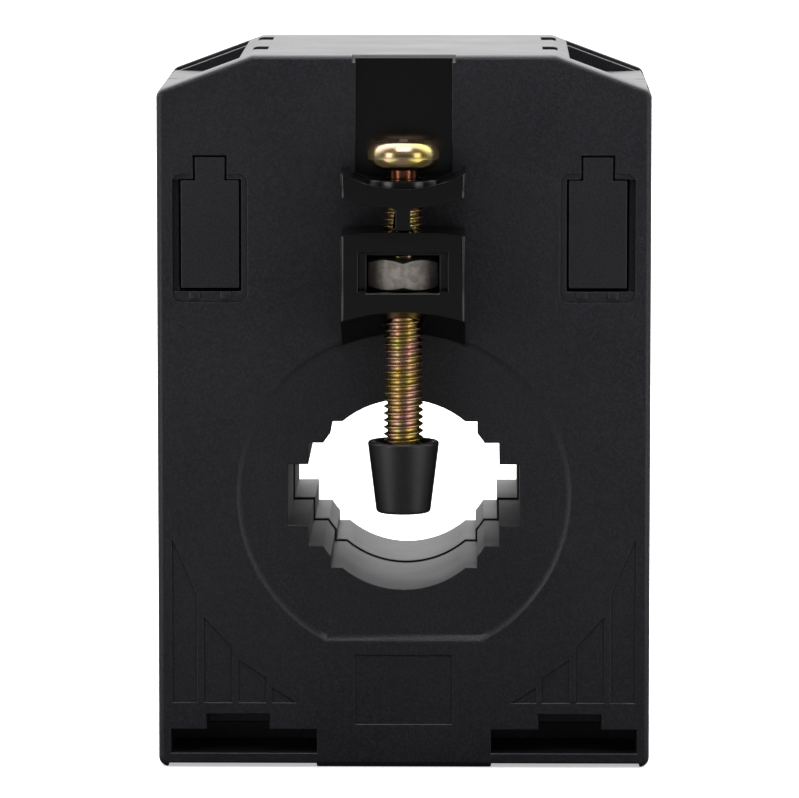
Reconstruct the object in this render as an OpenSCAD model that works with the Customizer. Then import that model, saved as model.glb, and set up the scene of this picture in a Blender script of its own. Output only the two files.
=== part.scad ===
// Window-type current transformer with a stepped busbar window and a clamp screw.
// Millimetres. Z is up, the front face looks towards -Y, and the origin lies on
// the standing face, under the window, half way through the depth of the case.

/* [Case] */
// Width of the case
case_w = 50; // [47:0.5:60]
// Height of the case at the flat of its roof
case_h = 72.7; // [72:0.1:78]
// Depth of the case, front face to rear face
case_d = 35; // [33:0.5:45]
// Depth of the front shell, face to joint
front_d = 20; // [19:0.5:21]
// Wall of both shells
wall = 2; // [1.6:0.1:2.4]
// Width of the flat of the roof
roof_flat = 30.6; // [29:0.1:32]
// Drop from the flat of the roof to the corner where its slope meets the side
eave_drop = 3.6; // [2.7:0.1:3.6]
// Radius of the long edges of the case
corner_r = 1; // [0.8:0.1:1.4]
// Radius of the rim of the front and rear faces
edge_r = 0.6; // [0.3:0.1:0.7]
// Gap between the two shells where they overlap
shell_gap = 0.1; // [0.05:0.05:0.15]
// Thickness of the tongue that centres the rear shell in the front one
tongue_t = 0.9; // [0.7:0.1:1]
// Length of that tongue
tongue_l = 1.5; // [1:0.1:2.5]

/* [Window] */
// Height of the middle of the window above the standing face
window_h = 28; // [27.6:0.1:29]
// Width of the widest slot
slot_a_w = 23.6; // [22:0.1:24]
// Height of the widest slot
slot_a_h = 6.2; // [5:0.1:7]
// Width of the middle slot
slot_b_w = 19.4; // [18:0.1:20]
// Height of the middle slot
slot_b_h = 10.6; // [9:0.1:11]
// Width of the tallest slot
slot_c_w = 14.9; // [13:0.1:15.5]
// Height of the tallest slot
slot_c_h = 15; // [13:0.1:15.5]
// Diameter of the round cable opening
bore_d = 19.5; // [18.5:0.1:20.5]
// How much smaller the window is in the rear shell, on each side
window_step = 0.2; // [0:0.05:0.4]
// Outer diameter of the sleeve round the window
sleeve_d = 27.4; // [26.6:0.1:27.6]
// Diameter of the shallow dished ring round the window
ring_d = 34; // [32.6:0.1:34.4]
// Distance from the middle of the window to the flat at the foot of the ring
ring_flat = 15; // [14:0.1:15.8]
// Depth of the dished ring
ring_depth = 0.4; // [0.3:0.1:0.6]
// Width of the ring's sloping edge
ring_slope = 0.75; // [0.5:0.05:0.9]

/* [Clamp bracket] */
// Distance of the clamp screw's axis in front of the face
axis_out = 3.5; // [3.4:0.1:4]
// Distance that the bracket stands out from the face
bracket_out = 8.3; // [8.2:0.1:9]
// Width of the bracket
bracket_w = 12.5; // [11.5:0.1:14]
// Radius of the bracket's upright front edges
bracket_r = 0.4; // [0.3:0.1:0.9]
// Height of the lowest point of the ledge's dished top
ledge_top = 59.85; // [59.7:0.05:60]
// Radius of the dish in the ledge's top
ledge_top_r = 12.6; // [11:0.1:16]
// Height of the lowest point of the ledge
ledge_low = 57.9; // [57.8:0.1:58.1]
// Radius of the ledge's underside
ledge_low_r = 18; // [16:0.5:24]
// Height of the flat seat under the screw head
seat_h = 60.6; // [60.3:0.05:60.8]
// Diameter of that seat
seat_d = 8; // [7.8:0.1:8.4]
// Width of the rib between ledge and block
rib_w = 1.5; // [1.2:0.1:2]
// Radius where the rib meets ledge and block
rib_root_r = 0.45; // [0.2:0.05:0.7]
// Thickness of the rib, front to back
rib_t = 2.2; // [1.6:0.1:2.5]
// Height of the top of the nut block
block_top = 55.7; // [55.4:0.1:55.9]
// Radius of the nut block's arched top
block_top_r = 36; // [28:1:60]
// Radius of the nut block's hollow foot at its front, from the window's middle
block_foot_r = 19.55; // [19.2:0.05:19.9]
// Radius of that foot where it meets the face
block_root_r = 16.6; // [16.3:0.1:16.9]
// Width of the block's stepped mouth
mouth_w = 8.9; // [8.6:0.1:9.6]
// Height of that mouth
mouth_h = 3.8; // [3.6:0.1:4]
// Depth of that mouth
mouth_t = 1.5; // [1:0.1:2]
// Width of the screwdriver groove
groove_w = 9.7; // [9:0.1:10.4]
// Depth of the screwdriver groove
groove_t = 1; // [0.8:0.1:1.3]

/* [Clamp screw] */
// Diameter of the clamp screw
screw_d = 4; // [3.9:0.05:4.1]
// Length of the clamp screw under its head
screw_l = 30; // [29.5:0.5:31]
// Diameter of the clamp screw's head
screw_head_d = 7.3; // [7:0.1:7.8]
// Height of the clamp screw's head
screw_head_h = 2.85; // [2.75:0.05:3.2]
// Radius of the rounded edges of that head
screw_head_r = 1.35; // [0.9:0.05:1.35]
// Gap under the screw head at rest
screw_lift = 0.9; // [0.9:0.1:1.4]
// Radial gap of the holes that the screw passes
screw_clear = 0.25; // [0.2:0.05:0.4]
// Radial running gap of the screw in the nut and in the pressure tip
thread_clear = 0.05; // [0.03:0.01:0.08]
// Width of the nut across its flats
nut_af = 7; // [6.8:0.1:7.1]
// Thickness of the nut
nut_t = 3.2; // [3:0.1:3.3]
// Height of the nut's underside
nut_low = 49.5; // [49.4:0.1:49.7]
// Gap round the nut in its pocket
nut_clear = 0.12; // [0.08:0.02:0.2]
// Diameter of the pressure tip at its top
tip_top_d = 7.25; // [6.8:0.05:7.6]
// Diameter of the pressure tip at its foot
tip_low_d = 5.45; // [5:0.05:6]
// Height of the pressure tip
tip_l = 7.25; // [6.5:0.05:8]
// Depth that the screw reaches into the pressure tip
tip_grip = 2.55; // [2.2:0.05:3.5]

/* [Terminals] */
// Depth of the two decks cut into the roof slopes, below the flat of the roof
deck_drop = 3.7; // [3.7:0.1:3.9]
// Width of a deck, from the side of the case inwards
deck_w = 8.2; // [8:0.1:8.4]
// Thickness of the front gable beside a deck
gable_front = 4; // [3:0.5:5]
// Thickness of the rear gable beside a deck
gable_rear = 2.5; // [2.2:0.1:3.5]
// Depth of the rebate along the rear gable's inner edge
gable_step = 0.4; // [0.2:0.1:0.6]
// Distance from the front face to the middle of the front pair of roof slots
slot_in_front = 12; // [9:0.5:15]
// Distance from the rear face to the middle of the rear pair of roof slots
slot_in_rear = 7; // [5:0.5:9]
// Distance from the side of the case to a terminal
term_in = 5; // [4.9:0.1:5.1]
// Distance from the front face to a terminal
term_y = 11; // [10.8:0.1:11.5]
// Depth of the top of a terminal bar below its deck
bar_drop = 6.1; // [6:0.1:6.2]
// Thickness of a terminal bar
term_bar_t = 0.9; // [0.8:0.1:1]
// Width of a terminal bar
term_bar_w = 3.6; // [3.2:0.1:4]
// Diameter of a terminal screw
term_screw_d = 3.5; // [3:0.1:3.6]
// Diameter of a terminal screw's head
term_head_d = 5.6; // [5:0.1:5.7]
// Height of a terminal screw's head
term_head_h = 1.4; // [1:0.1:1.4]
// Length of a clamp cage along the wire
cage_l = 5; // [4.4:0.1:5.2]
// Height of the wire room below the bar in an open cage
wire_h = 4.4; // [4.2:0.1:4.5]
// Width of the wire room in a cage
wire_w = 4.6; // [4.3:0.1:4.8]
// Sides and floor of a clamp cage
cage_t = 0.9; // [0.8:0.1:1]
// Top of a clamp cage, which is threaded
cage_top_t = 1.3; // [1.2:0.1:1.4]

/* [Latches] */
// Distance from the side of the case to the middle of a latch
latch_in = 5.4; // [5.3:0.1:5.6]
// Width of a latch arm
latch_w = 5.9; // [5.4:0.1:6.1]
// Depth of the underside of a latch arm below the flat of the roof
latch_low_drop = 23.6; // [23.3:0.1:23.7]
// Depth of the shoulder of a latch arm below the flat of the roof
latch_high_drop = 12.65; // [12.5:0.05:12.9]
// Width of the nose of a latch
nose_w = 3.05; // [2.6:0.05:3.4]
// Depth of the top of the nose below the flat of the roof
nose_drop = 10.3; // [10.1:0.1:10.6]
// Width of the shallow recess beside a latch arm
latch_room = 0.8; // [0.6:0.05:0.85]
// Depth of that recess
latch_recess = 0.3; // [0.2:0.05:0.5]
// Depth of the channel in it, outside the arm
latch_channel = 1; // [0.6:0.1:1.2]
// Thickness of the beam that carries a latch
beam_t = 3; // [2.5:0.1:3.5]

/* [Foot pockets] */
// Inner edge of a foot pocket, from the middle
foot_x = 8.9; // [8:0.1:10]
// Wall between a foot pocket and the side of the case
foot_rim = 1.3; // [1.2:0.1:2]
// Floor of a foot pocket
foot_low = 1.5; // [1.2:0.1:1.7]
// Ceiling of a foot pocket
foot_high = 3.9; // [3.6:0.1:4.1]
// Depth of a foot pocket
foot_t = 9; // [6:0.5:11]
// Distance from the side of the case to the middle of the catch notch over a foot pocket
catch_in = 8.1; // [7.8:0.1:8.5]
// Width of the catch notch
catch_w = 6.3; // [5:0.1:7]
// Top of the catch notch
catch_high = 5.45; // [5.2:0.05:5.6]
// How far the ends of the case's foot stand clear of the floor
foot_lift = 0.4; // [0.2:0.1:0.6]

/* [Face relief] */
// Depth of the falling bars and of the blank panel
relief_t = 0.2; // [0.1:0.05:0.3]
// Height of the foot of the bars
bars_low = 6.7; // [6.4:0.1:7]
// Half width of the blank panel
panel_x = 4.9; // [4:0.1:6]
// Lower edge of the blank panel
panel_low = 4.5; // [4:0.1:6]
// Upper edge of the blank panel
panel_high = 11.5; // [9:0.1:11.8]

/* [Transformer] */
// Inner diameter of the wound core
core_inner_d = 30.8; // [30.8:0.1:31.6]
// Outer diameter of the wound core
core_outer_d = 37.8; // [36.4:0.1:37.8]
// Length of the wound core
core_l = 23; // [20:0.5:23]
// Thickness of the core's insulation
insulation_t = 0.4; // [0.3:0.05:0.4]
// Diameter of the winding wire
wire_d = 0.9; // [0.6:0.1:0.9]
// Turns of the secondary winding
turns = 40; // [24:4:60]
// Thickness of the outer tape
tape_t = 0.2; // [0.15:0.05:0.25]
// Diameter of a lead
lead_d = 1.7; // [1.4:0.1:2]

/* [Hidden] */
$fn = 96;

// Colours
case_black = "#26262a";
chromate = "#c9a24a";
zinc_steel = "#a9a7a2";
tip_black = "#2b2a2a";
tinned_brass = "#c8c3b4";
core_grey = "#6e7074";
insulation_cream = "#e6dcc0";
wire_copper = "#a8552a";
tape_yellow = "#d8b84a";
foam_grey = "#7a7c80";
lead_red = "#8c2a22";

// Planes along the depth
front_y = -case_d / 2;
rear_y = case_d / 2;
joint_y = front_y + front_d;
axis_y = front_y - axis_out;
block_y = front_y - bracket_out;
term_line_y = front_y + term_y;

// Heights that follow the roof, and places that follow the sides
eave_h = case_h - eave_drop;
deck_h = case_h - deck_drop;
deck_x = case_w / 2 - deck_w;
term_x = case_w / 2 - term_in;
term_bar_h = deck_h - bar_drop;
latch_x = case_w / 2 - latch_in;
latch_low = case_h - latch_low_drop;
latch_high = case_h - latch_high_drop;
nose_top = case_h - nose_drop;
foot_end = case_w / 2 - foot_rim;
catch_x = case_w / 2 - catch_in;

// Small amounts
eps = 0.01;
past = 1;          // how far a cut runs beyond the surface that it opens
seat_gap = 0.05;   // play between pieces that rest on each other

// Room inside the case
roof_in = case_h - wall;
deck_in = deck_h - wall;
side_in = case_w / 2 - wall;
floor_in = catch_high + 1.45;

// Clamp screw
head_low = seat_h + screw_lift;
screw_end = head_low - screw_l;
neck_d = 3.1;
neck_l = 2;
tip_top = screw_end + tip_grip;
tip_low = tip_top - tip_l;

// Terminal
bar_low = term_bar_h - term_bar_t;
cage_low = bar_low - wire_h - cage_t;
cage_high = term_bar_h + cage_top_t;
cage_w = wire_w + 2 * cage_t;
term_head_low = deck_h - term_head_h - 0.05;
well_low = term_head_low - seat_gap;
bar_in = deck_x - wall - 2.6;
bar_out = case_w / 2 - 1.2;
tag_end = 1.3;
tag_x = bar_in + tag_end;
tag_hole_d = 1.5;

// Latch
recess_low = latch_low - latch_room - 0.6;
recess_high = latch_high + 0.6;
recess_r = 0.9;
latch_play = 0.15;
latch_slit = 0.3;
plate_t = 2.2;
nose_t = 1.1;
arm_sink = 0.1;
nib_w = 1.2;
nib_spread = 3.15;
nib_foot = 0.25;

// Transformer stack, from the core outwards
stack_gap = 0.05;
ins_ir = core_inner_d / 2 - stack_gap - insulation_t;
ins_or = core_outer_d / 2 + stack_gap + insulation_t;
ins_l = core_l + 2 * (stack_gap + insulation_t);
enamel_t = 0.2;
base_ir = ins_ir - stack_gap - enamel_t;
base_or = ins_or + stack_gap + enamel_t;
base_l = ins_l + 2 * (stack_gap + enamel_t);
turn_ir = base_ir - wire_d / 2;
turn_or = base_or + wire_d / 2;
turn_l = base_l + wire_d;
tape_ir = turn_ir - stack_gap - tape_t;
tape_or = turn_or + stack_gap + tape_t;
tape_l = turn_l + 2 * (stack_gap + tape_t);

// The outline of the case, moved inwards by d
roof_angle = atan2(case_h - eave_h, (case_w - roof_flat) / 2);
function house(d) = let (
    side = case_w / 2 - d,
    bend = roof_flat / 2 - d * tan(roof_angle / 2),
    eave = eave_h - d * tan((90 - roof_angle) / 2)
) [[-side, d], [side, d], [side, eave], [bend, case_h - d], [-bend, case_h - d], [-side, eave]];

// Height of the roof slope at a distance x from the middle
function slope_z(x) = case_h - (x - roof_flat / 2) * tan(roof_angle);

// Extrudes a drawing made in X and Z from y0 to y1
module along_y(y0, y1) {
    translate([0, y1, 0]) rotate([90, 0, 0]) linear_extrude(y1 - y0) children();
}

// A round bar along Y through the point x, z
module bar_y(y0, y1, d, x = 0, z = 0) {
    translate([x, y0, z]) rotate([-90, 0, 0]) cylinder(h = y1 - y0, d = d);
}

// A box given by its lowest and highest corners
module span(low, high) {
    translate(low) cube(high - low);
}

module both_sides() {
    children();
    mirror([1, 0, 0]) children();
}

// Rectangle w by h on the X axis, standing at z0, with rounded corners
module round_box_2d(w, z0, h, r) {
    translate([-w / 2 + r, z0]) square([w - 2 * r, h]);
    translate([-w / 2, z0 + r]) square([w, h - 2 * r]);
    for (x = [-w / 2 + r, w / 2 - r]) for (z = [z0 + r, z0 + h - r])
        translate([x, z]) circle(r);
}

// Solid block with the case's outline; the face at y0 has a rounded rim
module case_block(y0, y1) {
    dir = y1 > y0 ? 1 : -1;
    rim = [[0, edge_r], [0.3 * edge_r, 0.3 * edge_r], [edge_r, 0]];
    hull() {
        for (step = rim) for (c = house(corner_r))
            translate([c[0], y0 + dir * step[0], c[1]]) rotate([-90 * dir, 0, 0])
                cylinder(h = eps, r = corner_r - step[1], $fn = 32);
        for (c = house(corner_r))
            translate([c[0], y1 - dir * eps, c[1]]) rotate([-90 * dir, 0, 0])
                cylinder(h = eps, r = corner_r, $fn = 32);
    }
}

// The stepped window, made smaller all round by step
module window_2d(step = 0) {
    slots = [[slot_a_w, slot_a_h], [slot_b_w, slot_b_h], [slot_c_w, slot_c_h]];
    translate([0, window_h]) {
        circle(bore_d / 2 - step);
        for (s = slots) square([s[0] - 2 * step, s[1] - 2 * step], center = true);
    }
}

// Room for the transformer and the terminals
module cavity_2d() {
    right = [[side_in, floor_in], [side_in, deck_in], [deck_x - wall, deck_in], [deck_x - wall, roof_in]];
    left = [for (i = [3:-1:0]) [-right[i][0], right[i][1]]];
    polygon(concat(right, left));
}

// Cut that leaves a deck in each roof slope between the gables
module deck_cut(y0, y1) {
    both_sides() span([deck_x, y0, deck_h], [case_w / 2 + past, y1, case_h + past]);
}

// Hook slot in the roof, for clip-on covers
module roof_slot(y) {
    slot_w = 1.5;
    slot_l = 5;
    slot_t = wall - 0.5;
    both_sides()
        span([roof_flat / 2 - 1.2, y - slot_l / 2, case_h - slot_t],
             [roof_flat / 2 - 1.2 + slot_w, y + slot_l / 2, case_h + past]);
}

// Shallow dish round the window, with a sloping rim and a flat foot
module ring_dish() {
    intersection() {
        translate([0, front_y - eps, window_h]) rotate([-90, 0, 0])
            cylinder(h = ring_depth + eps, r1 = ring_d / 2, r2 = ring_d / 2 - ring_slope);
        translate([-ring_d / 2, 0, 0]) rotate([90, 0, 90]) linear_extrude(ring_d)
            polygon([
                [front_y - past, window_h - ring_flat],
                [front_y, window_h - ring_flat],
                [front_y + ring_depth, window_h - ring_flat + ring_slope],
                [front_y + ring_depth, window_h + ring_d],
                [front_y - past, window_h + ring_d]
            ]);
    }
}

// Groove for the screwdriver blade, running from the roof down to the ledge
module driver_groove() {
    flare = 0.35;
    along_y(front_y - past, front_y + groove_t)
        translate([-groove_w / 2, ledge_top]) square([groove_w, case_h - ledge_top + past]);
    translate([-groove_w / 2 - flare, 0, 0]) rotate([90, 0, 90]) linear_extrude(groove_w + 2 * flare)
        polygon([
            [front_y - past, case_h - 2 * flare],
            [front_y + groove_t - flare, case_h - 2 * flare],
            [front_y + groove_t + flare, case_h + eps],
            [front_y - past, case_h + eps]
        ]);
}

// Dished ledge under the screw head
module ledge_2d() {
    difference() {
        intersection() {
            translate([-bracket_w / 2, ledge_low]) square([bracket_w, 4]);
            translate([0, ledge_low + ledge_low_r]) circle(ledge_low_r);
        }
        translate([0, ledge_top + ledge_top_r]) circle(ledge_top_r);
    }
}

// Arched block that holds the nut
module block_2d() {
    intersection() {
        translate([-bracket_w / 2, window_h + ring_flat]) square([bracket_w, bracket_w]);
        translate([0, block_top - block_top_r]) circle(block_top_r);
    }
}

// Upright rib between the block and the ledge, with rounded roots
module rib_2d() {
    reach = rib_w / 2 + rib_root_r;
    sink = 0.1;
    low = block_top + rib_root_r;
    high = ledge_low - rib_root_r;
    difference() {
        translate([-reach, block_top - sink]) square([2 * reach, ledge_low - block_top + 2 * sink]);
        for (x = [-reach, reach]) {
            for (z = [low, high]) translate([x, z]) circle(rib_root_r);
            translate([x - rib_root_r, low]) square([2 * rib_root_r, high - low]);
        }
    }
}

// Everything that stands out of the face to hold the clamp screw
module bracket() {
    root = front_y + wall / 2;
    block_root = front_y + ring_depth + 0.2;
    flare_r = (block_foot_r - block_root_r) / bracket_out;
    back = root - front_y + past;
    difference() {
        intersection() {
            union() {
                along_y(block_y, root) ledge_2d();
                along_y(block_y, block_root) block_2d();
                along_y(block_y, block_y + rib_t) rib_2d();
                translate([0, axis_y, ledge_low + 1]) cylinder(h = seat_h - ledge_low - 1, d = seat_d);
            }
            // plan of the bracket, with its front corners rounded
            translate([0, 0, window_h]) linear_extrude(case_h) translate([0, block_y])
                round_box_2d(bracket_w, 0, bracket_out + 2 * wall, bracket_r);
        }
        // hollow foot, part of a cone about the window
        translate([0, block_y - past, window_h]) rotate([-90, 0, 0])
            cylinder(h = bracket_out + past + back, r1 = block_foot_r + past * flare_r,
                     r2 = block_root_r - back * flare_r);
    }
}

// Holes and pockets that take the clamp screw and its nut
module clamp_cuts() {
    pocket_back = axis_y + nut_af / 2 / cos(30) + nut_clear;
    pocket_low = nut_low - seat_gap;
    pocket_high = nut_low + nut_t + 0.35;
    mouth_low = nut_low + nut_t / 2 - mouth_h / 2 + 0.45;
    translate([0, axis_y, window_h + ring_flat])
        cylinder(h = case_h - window_h - ring_flat, d = screw_d + 2 * screw_clear);
    span([-nut_af / 2 - nut_clear, block_y - past, pocket_low],
         [nut_af / 2 + nut_clear, pocket_back, pocket_high]);
    span([-mouth_w / 2, block_y - past, mouth_low],
         [mouth_w / 2, block_y + mouth_t, mouth_low + mouth_h]);
}

// Shallow recess in the face with the window for one latch arm in it
module latch_window() {
    reach = latch_w / 2 + latch_room;
    slit_low = latch_low - latch_slit;
    translate([latch_x, 0, 0]) {
        along_y(front_y - past, front_y + latch_recess)
            round_box_2d(2 * reach, recess_low, recess_high - recess_low, recess_r);
        span([latch_w / 2, front_y - past, slit_low], [reach, front_y + latch_channel, latch_high]);
        span([-latch_w / 2 - latch_play, front_y - past, slit_low],
             [latch_w / 2 + latch_play, front_y + wall + past, latch_high + seat_gap]);
        span([-nose_w / 2 - latch_play, front_y - past, latch_high],
             [nose_w / 2 + latch_play, front_y + nose_t + arm_sink + seat_gap, nose_top + latch_play]);
    }
}

// Two nibs that stand in the recess under a latch arm
module latch_nibs() {
    nib_sink = 0.1;
    for (x = [-nib_spread / 2, nib_spread / 2])
        span([latch_x + x - nib_w / 2, front_y + nib_sink, recess_low + nib_foot],
             [latch_x + x + nib_w / 2, front_y + latch_recess + eps, latch_low - latch_slit]);
}

// Pocket for a clip-on foot, with the notch for its catch
module foot_pocket() {
    catch_ramp = 1.3;
    span([foot_x, front_y - past, foot_low], [foot_end, front_y + foot_t, foot_high]);
    translate([catch_x - catch_w / 2, 0, 0]) rotate([90, 0, 90]) linear_extrude(catch_w)
        polygon([
            [front_y - past, foot_high - eps],
            [front_y + foot_t / 2, foot_high - eps],
            [front_y + foot_t / 2, catch_high - 0.6],
            [front_y + catch_ramp, catch_high],
            [front_y - past, catch_high]
        ]);
}

// Relief below both ends of the case's foot; the corners still reach the floor
module foot_relief() {
    both_sides() span([foot_x, front_y - past, -past], [case_w / 2 - corner_r, rear_y + past, foot_lift]);
}

// Four falling bars and the blank panel, sunk into the face
module face_relief() {
    // distances of both edges from the side, then the height at the outer and at the inner edge
    bars = [
        [3.9, 1.5, 23.2, 17.8],
        [7.4, 4.7, 15.3, 12.4],
        [10.9, 8.2, 11, 9.2],
        [13.8, 11.6, 8.1, bars_low]
    ];
    along_y(front_y - past, front_y + relief_t) {
        both_sides() for (b = bars) let (inner = case_w / 2 - b[0], outer = case_w / 2 - b[1])
            polygon([[inner, bars_low], [outer, bars_low], [outer, b[2]], [inner, b[3]]]);
        translate([-panel_x, panel_low]) square([2 * panel_x, panel_high - panel_low]);
    }
}

// Well for a terminal screw, seat for its bar and entry for its wire
module terminal_cuts() {
    translate([term_x, term_line_y, deck_in - past])
        cylinder(h = wall + 2 * past, d = term_screw_d + 0.7);
    translate([term_x, term_line_y, well_low])
        cylinder(h = deck_h - well_low + past, d = term_head_d + 0.5);
    span([bar_in - past, term_line_y - term_bar_w / 2 - seat_gap, bar_low - seat_gap],
         [bar_out + seat_gap, term_line_y + term_bar_w / 2 + seat_gap, term_bar_h + seat_gap]);
    span([side_in - past, term_line_y - wire_w / 2, bar_low - wire_h],
         [case_w / 2 + past, term_line_y + wire_w / 2, bar_low - seat_gap]);
}

// Rib that carries the inner end of a terminal bar
module terminal_rib() {
    span([deck_x - wall, front_y + wall - eps, bar_low - 1.5],
         [deck_x, term_line_y + cage_w / 2 + past, deck_in + eps]);
}

module front_shell() {
    slot_y = front_y + slot_in_front;
    color(case_black) difference() {
        union() {
            difference() {
                case_block(front_y, joint_y);
                along_y(front_y + wall, joint_y + past) cavity_2d();
                ring_dish();
                driver_groove();
                both_sides() latch_window();
            }
            bar_y(front_y + wall - eps, joint_y, sleeve_d, 0, window_h);
            both_sides() latch_nibs();
            both_sides() terminal_rib();
            bracket();
        }
        along_y(front_y - past, joint_y + past) window_2d();
        clamp_cuts();
        deck_cut(front_y + gable_front, joint_y + past);
        both_sides() terminal_cuts();
        both_sides() foot_pocket();
        foot_relief();
        face_relief();
        roof_slot(slot_y);
        // rebate for the rear shell's tongue
        both_sides() span([side_in - eps, joint_y - tongue_l - shell_gap, floor_in],
                          [side_in + tongue_t + shell_gap, joint_y + past, latch_low]);
        // pry notch at the joint
        both_sides() span([case_w / 2 - 1.1, joint_y - 0.6, deck_h - 0.6],
                          [case_w / 2 + past, joint_y + past, deck_h + past]);
    }
}

// Latch arm: beam, front plate with its nose, and two gussets
module latch_arm() {
    plate_y = front_y + arm_sink;
    beam_y = plate_y + plate_t;
    gusset = 4;
    root_y = joint_y + 4;
    translate([latch_x, 0, 0]) {
        span([-latch_w / 2, plate_y, latch_low], [latch_w / 2, beam_y, latch_high]);
        span([-nose_w / 2, plate_y, latch_high - eps], [nose_w / 2, plate_y + nose_t, nose_top]);
        span([-latch_w / 2, beam_y - eps, latch_low], [latch_w / 2, root_y, latch_low + beam_t]);
        for (x = [-latch_w / 2, latch_w / 2 - 1])
            translate([x, 0, 0]) rotate([90, 0, 90]) linear_extrude(1)
                polygon([
                    [beam_y - eps, latch_low + beam_t - eps],
                    [beam_y + gusset, latch_low + beam_t - eps],
                    [beam_y - eps, latch_low + beam_t + gusset + 1]
                ]);
    }
    span([latch_x - latch_w / 2, joint_y + shell_gap, latch_low - beam_t],
         [side_in + eps, root_y, latch_low + beam_t]);
}

// Tongue that enters the front shell along both sides
module side_tongue() {
    span([side_in, joint_y - tongue_l, floor_in + shell_gap],
         [side_in + tongue_t, joint_y + eps, latch_low - shell_gap]);
}

// Rebate along the inner edge of the rear gable, following the slope down to the deck
module gable_rebate() {
    rebate_w = 1;
    gable_y = rear_y - gable_rear;
    slope_end = roof_flat / 2 + (case_h - deck_h - gable_step) / tan(roof_angle);
    along_y(gable_y - past, gable_y + rebate_w) polygon([
        [deck_x, slope_z(deck_x) - gable_step],
        [slope_end, deck_h],
        [case_w / 2 + past, deck_h],
        [case_w / 2 + past, case_h + past],
        [deck_x, case_h + past]
    ]);
}

module rear_shell() {
    slot_y = rear_y - slot_in_rear;
    color(case_black) difference() {
        union() {
            difference() {
                case_block(rear_y, joint_y + eps);
                along_y(joint_y - past, rear_y - wall) cavity_2d();
            }
            bar_y(joint_y + eps, rear_y - wall + eps, sleeve_d, 0, window_h);
            both_sides() latch_arm();
            both_sides() side_tongue();
        }
        along_y(joint_y - past, rear_y + past) window_2d(window_step);
        deck_cut(joint_y - past, rear_y - gable_rear);
        both_sides() gable_rebate();
        foot_relief();
        roof_slot(slot_y);
    }
}

// Pan-head clamp screw with a cross recess
module clamp_screw() {
    blade = 1.1;
    color(chromate) translate([0, axis_y, 0]) difference() {
        union() {
            translate([0, 0, screw_end]) cylinder(h = screw_l - neck_l, d = screw_d);
            translate([0, 0, head_low - neck_l - eps]) cylinder(h = neck_l + 2 * eps, d = neck_d);
            translate([0, 0, head_low]) round_head(screw_head_d, screw_head_h, screw_head_r);
        }
        cross_recess(blade, 4.2, head_low + screw_head_h, 1.6);
    }
}

// Head of diameter d and height h, its edges rounded to r above and below
module round_head(d, h, r) {
    rotate_extrude() {
        square([d / 2 - r, h]);
        translate([0, r]) square([d / 2, h - 2 * r]);
        for (z = [r, h - r]) translate([d / 2 - r, z]) circle(r);
    }
}

// Crossed slots, w wide and l long, sunk by t below the height z
module cross_recess(w, l, z, t) {
    for (a = [0, 90]) rotate([0, 0, a])
        translate([-l / 2, -w / 2, z - t]) cube([l, w, t + past]);
}

module clamp_nut() {
    face_r = 0.475 * nut_af;
    reach = nut_af / 2 / cos(30) + seat_gap;
    rise = (reach - face_r) * tan(30);
    color(zinc_steel) translate([0, axis_y, nut_low]) difference() {
        intersection() {
            rotate([0, 0, 90]) cylinder(h = nut_t, d = nut_af / cos(30), $fn = 6);
            rotate_extrude() polygon([
                [0, 0],
                [face_r, 0],
                [reach, rise],
                [reach, nut_t - rise],
                [face_r, nut_t],
                [0, nut_t]
            ]);
        }
        translate([0, 0, -past]) cylinder(h = nut_t + 2 * past, d = screw_d + 2 * thread_clear);
    }
}

// Cone-shaped cap on the end of the screw
module pressure_tip() {
    dish_t = 0.5;
    color(tip_black) translate([0, axis_y, tip_low]) difference() {
        cylinder(h = tip_l, d1 = tip_low_d, d2 = tip_top_d);
        translate([0, 0, tip_l - tip_grip - seat_gap])
            cylinder(h = tip_grip + past, d = screw_d + 2 * thread_clear);
        translate([0, 0, tip_l - dish_t]) cylinder(h = dish_t + eps, d1 = screw_d + 0.6, d2 = screw_d + 1.8);
    }
}

module terminal_screw() {
    blade = 0.9;
    color(zinc_steel) translate([term_x, term_line_y, 0]) difference() {
        union() {
            translate([0, 0, term_bar_h + seat_gap])
                cylinder(h = term_head_low - term_bar_h, d = term_screw_d);
            translate([0, 0, term_head_low]) cylinder(h = term_head_h, d = term_head_d);
        }
        cross_recess(blade, 3.2, deck_h, term_head_h * 0.7);
        translate([-term_head_d, -0.35, deck_h - 0.7]) cube([2 * term_head_d, 0.7, past]);
    }
}

// Box clamp that climbs its screw and lifts the wire against the bar
module terminal_cage() {
    color(zinc_steel) difference() {
        span([term_x - cage_l / 2, term_line_y - cage_w / 2, cage_low],
             [term_x + cage_l / 2, term_line_y + cage_w / 2, cage_high]);
        span([term_x - cage_l, term_line_y - wire_w / 2, cage_low + cage_t],
             [term_x + cage_l, term_line_y + wire_w / 2, term_bar_h + seat_gap]);
        translate([term_x, term_line_y, term_bar_h])
            cylinder(h = cage_top_t + past, d = term_screw_d + 2 * thread_clear);
    }
}

// Flat bar with a solder tag at its inner end
module terminal_bar() {
    color(tinned_brass) difference() {
        span([bar_in, term_line_y - term_bar_w / 2, bar_low],
             [bar_out, term_line_y + term_bar_w / 2, term_bar_h]);
        translate([tag_x, term_line_y, bar_low - past]) cylinder(h = term_bar_t + 2 * past, d = tag_hole_d);
    }
}

// Ring of length l about the window's axis
module ring_y(ir, outer_r, l) {
    translate([0, -l / 2, window_h]) rotate([-90, 0, 0]) difference() {
        cylinder(h = l, r = outer_r);
        translate([0, 0, -past]) cylinder(h = l + 2 * past, r = ir);
    }
}

// Closed skin of thickness t round a ring
module skin_y(ir, outer_r, l, t) {
    difference() {
        ring_y(ir, outer_r, l);
        ring_y(ir + t, outer_r - t, l - 2 * t);
    }
}

module core() {
    color(core_grey) ring_y(core_inner_d / 2, core_outer_d / 2, core_l);
}

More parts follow.
